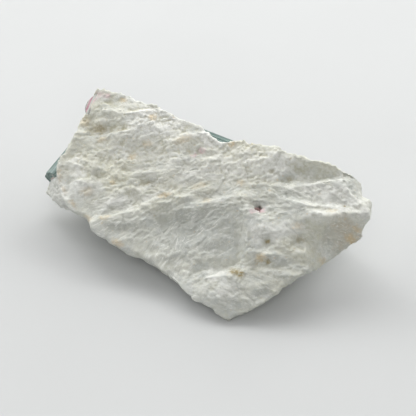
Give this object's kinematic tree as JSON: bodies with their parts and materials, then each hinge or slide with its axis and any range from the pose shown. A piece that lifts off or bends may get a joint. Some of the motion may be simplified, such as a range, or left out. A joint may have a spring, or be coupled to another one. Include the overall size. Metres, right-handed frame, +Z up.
{
  "type": "watermelon tourmaline specimen",
  "caption": "Rough hand specimen: a tipped slab of white feldspar with watermelon tourmaline crystals, green outside and pink inside, set in its broken sides.",
  "frame": {"origin": "middle of the bounding box, on the plane that the specimen rests on", "axes": "+X to the right along the longest extent, with the broad white face towards -Y and up; +Z up, away from the surface that it rests on, the shortest extent"},
  "size_m": [0.0966, 0.0825, 0.0328],
  "materials": {
    "feldspar": "rough, sugary white with faint cream, grey and ochre stains",
    "tourmaline": "glossy green skin with lengthwise ridges, pink core where a crystal is broken",
    "pink_tourmaline": "glossy pink grain"
  },
  "bodies": {
    "root": {"feldspar_matrix": "feldspar", "long_tourmaline": "tourmaline", "corner_tourmaline": "tourmaline", "left_tourmaline": "tourmaline", "slender_tourmaline": "tourmaline", "stub_tourmaline": "tourmaline", "pink_grain": "pink_tourmaline"}
  },
  "joints": []
}
